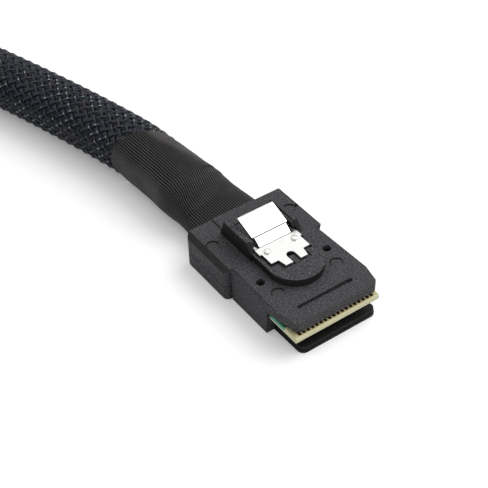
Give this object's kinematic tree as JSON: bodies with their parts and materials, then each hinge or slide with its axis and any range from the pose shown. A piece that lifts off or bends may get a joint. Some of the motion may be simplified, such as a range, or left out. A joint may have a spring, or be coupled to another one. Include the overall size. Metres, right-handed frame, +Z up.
{
  "type": "mini sas breakout cable",
  "caption": "Flat latching plug on a braided trunk that splits into four round leads with slim drive plugs.",
  "frame": {"origin": "on the table under the middle of the big plug, measured without the cable and what is on it", "axes": "+X the way the big plug goes into its socket, +Z up through the latch"},
  "size_m": [0.1738, 0.1638, 0.0126],
  "materials": {
    "housing": "fine texture",
    "card": "solder mask",
    "steel": "satin spring steel",
    "comb": "moulded",
    "flat_cable": "film jacket",
    "wrap": "ribbed cloth tape",
    "braid": "open braid",
    "collar": "shrunk tube",
    "lead": "satin jacket",
    "plug": "moulded",
    "contact": "gold plated"
  },
  "bodies": {
    "root": {"main_shell": "housing", "rear_cover": "housing", "paddle_card": "card", "wire_comb": "comb", "flat_cable_upper_left": "flat_cable", "flat_cable_upper_right": "flat_cable", "flat_cable_lower_left": "flat_cable", "flat_cable_lower_right": "flat_cable", "ribbed_wrap": "wrap", "braided_trunk": "braid", "split_collar": "collar", "lead_1": "lead", "lead_2": "lead", "lead_3": "lead", "lead_4": "lead", "plug_boot_1": "plug", "plug_boot_2": "plug", "plug_boot_3": "plug", "plug_boot_4": "plug", "plug_body_1": "plug", "plug_body_2": "plug", "plug_body_3": "plug", "plug_body_4": "plug", "plug_contact_1_1": "contact", "plug_contact_1_2": "contact", "plug_contact_1_3": "contact", "plug_contact_1_4": "contact", "plug_contact_1_5": "contact", "plug_contact_1_6": "contact", "plug_contact_1_7": "contact", "plug_contact_2_1": "contact", "plug_contact_2_2": "contact", "plug_contact_2_3": "contact", "plug_contact_2_4": "contact", "plug_contact_2_5": "contact", "plug_contact_2_6": "contact", "plug_contact_2_7": "contact", "plug_contact_3_1": "contact", "plug_contact_3_2": "contact", "plug_contact_3_3": "contact", "plug_contact_3_4": "contact", "plug_contact_3_5": "contact", "plug_contact_3_6": "contact", "plug_contact_3_7": "contact", "plug_contact_4_1": "contact", "plug_contact_4_2": "contact", "plug_contact_4_3": "contact", "plug_contact_4_4": "contact", "plug_contact_4_5": "contact", "plug_contact_4_6": "contact", "plug_contact_4_7": "contact"},
    "latch": {"latch_spring": "steel"}
  },
  "joints": [
    {"name": "latch_press", "type": "hinge", "parent": "root", "child": "latch", "pos_m": [0.0032, 0, 0.00789], "axis": [0, -1, 0], "range_deg": [0, 6], "stiffness_Nm_per_rad": 0.05}
  ]
}
